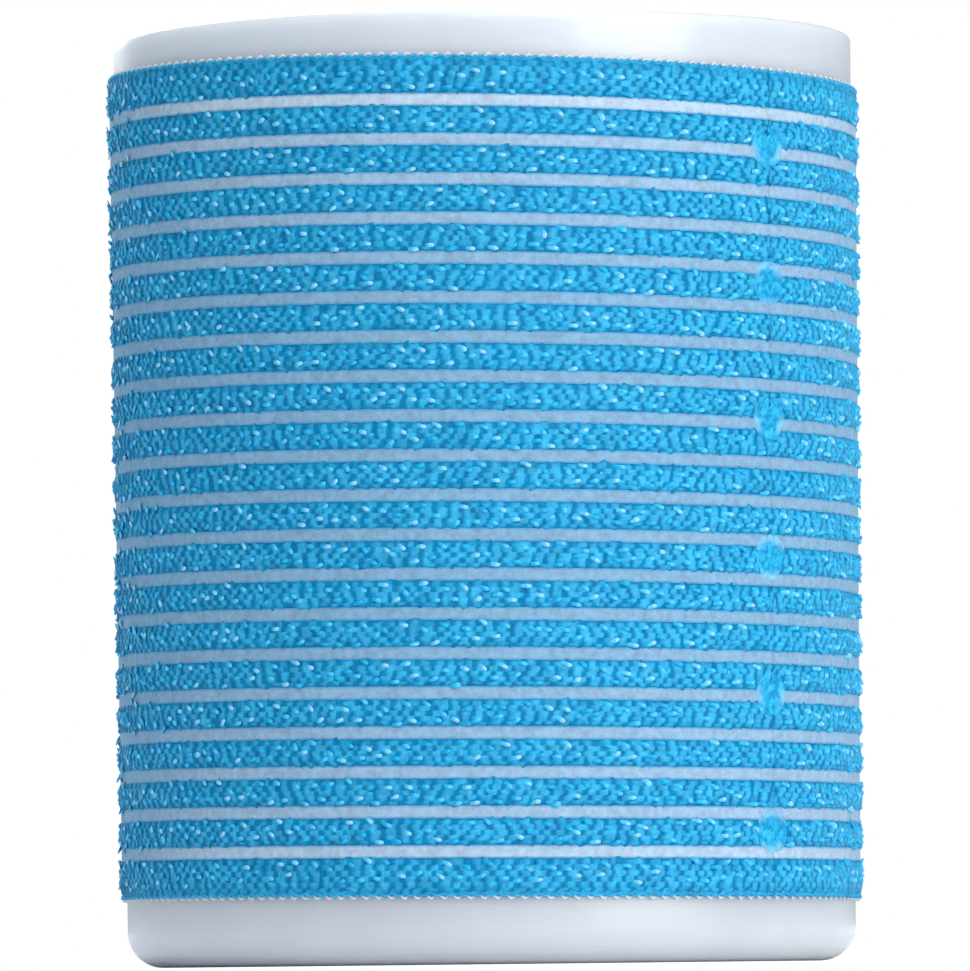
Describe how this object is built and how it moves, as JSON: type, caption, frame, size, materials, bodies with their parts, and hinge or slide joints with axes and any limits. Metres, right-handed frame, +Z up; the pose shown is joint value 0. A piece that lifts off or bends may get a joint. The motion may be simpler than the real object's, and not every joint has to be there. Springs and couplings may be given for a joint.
{
  "type": "hair roller",
  "caption": "Self-grip hair roller: a moulded tube with a rolled end, wrapped in blue woven hook tape, standing on end.",
  "frame": {"origin": "middle of the rolled end that the roller stands on, on its axis", "axes": "+Z up along the roller's axis, from the rolled end to the square end; the tape's seam is 48.5 degrees round from -Y towards +X"},
  "size_m": [0.0494, 0.0494, 0.06],
  "materials": {
    "core_plastic": "satin white polypropylene, slightly translucent",
    "ground_cloth": "thin pale blue-white woven nylon tape with blue selvedges",
    "hook_yarn": "bright blue woven nylon with glossy monofilament hooks",
    "weld_plastic": "melted and set nylon and polypropylene, smooth and glassy"
  },
  "bodies": {
    "root": {"core": "core_plastic", "ground_cloth": "ground_cloth", "hook_row_01": "hook_yarn", "hook_row_02": "hook_yarn", "hook_row_03": "hook_yarn", "hook_row_04": "hook_yarn", "hook_row_05": "hook_yarn", "hook_row_06": "hook_yarn", "hook_row_07": "hook_yarn", "hook_row_08": "hook_yarn", "hook_row_09": "hook_yarn", "hook_row_10": "hook_yarn", "hook_row_11": "hook_yarn", "hook_row_12": "hook_yarn", "hook_row_13": "hook_yarn", "hook_row_14": "hook_yarn", "hook_row_15": "hook_yarn", "hook_row_16": "hook_yarn", "hook_row_17": "hook_yarn", "hook_row_18": "hook_yarn", "hook_row_19": "hook_yarn", "hook_row_20": "hook_yarn", "hook_row_21": "hook_yarn", "weld_1": "weld_plastic", "weld_2": "weld_plastic", "weld_3": "weld_plastic", "weld_4": "weld_plastic", "weld_5": "weld_plastic", "weld_6": "weld_plastic"}
  },
  "joints": []
}
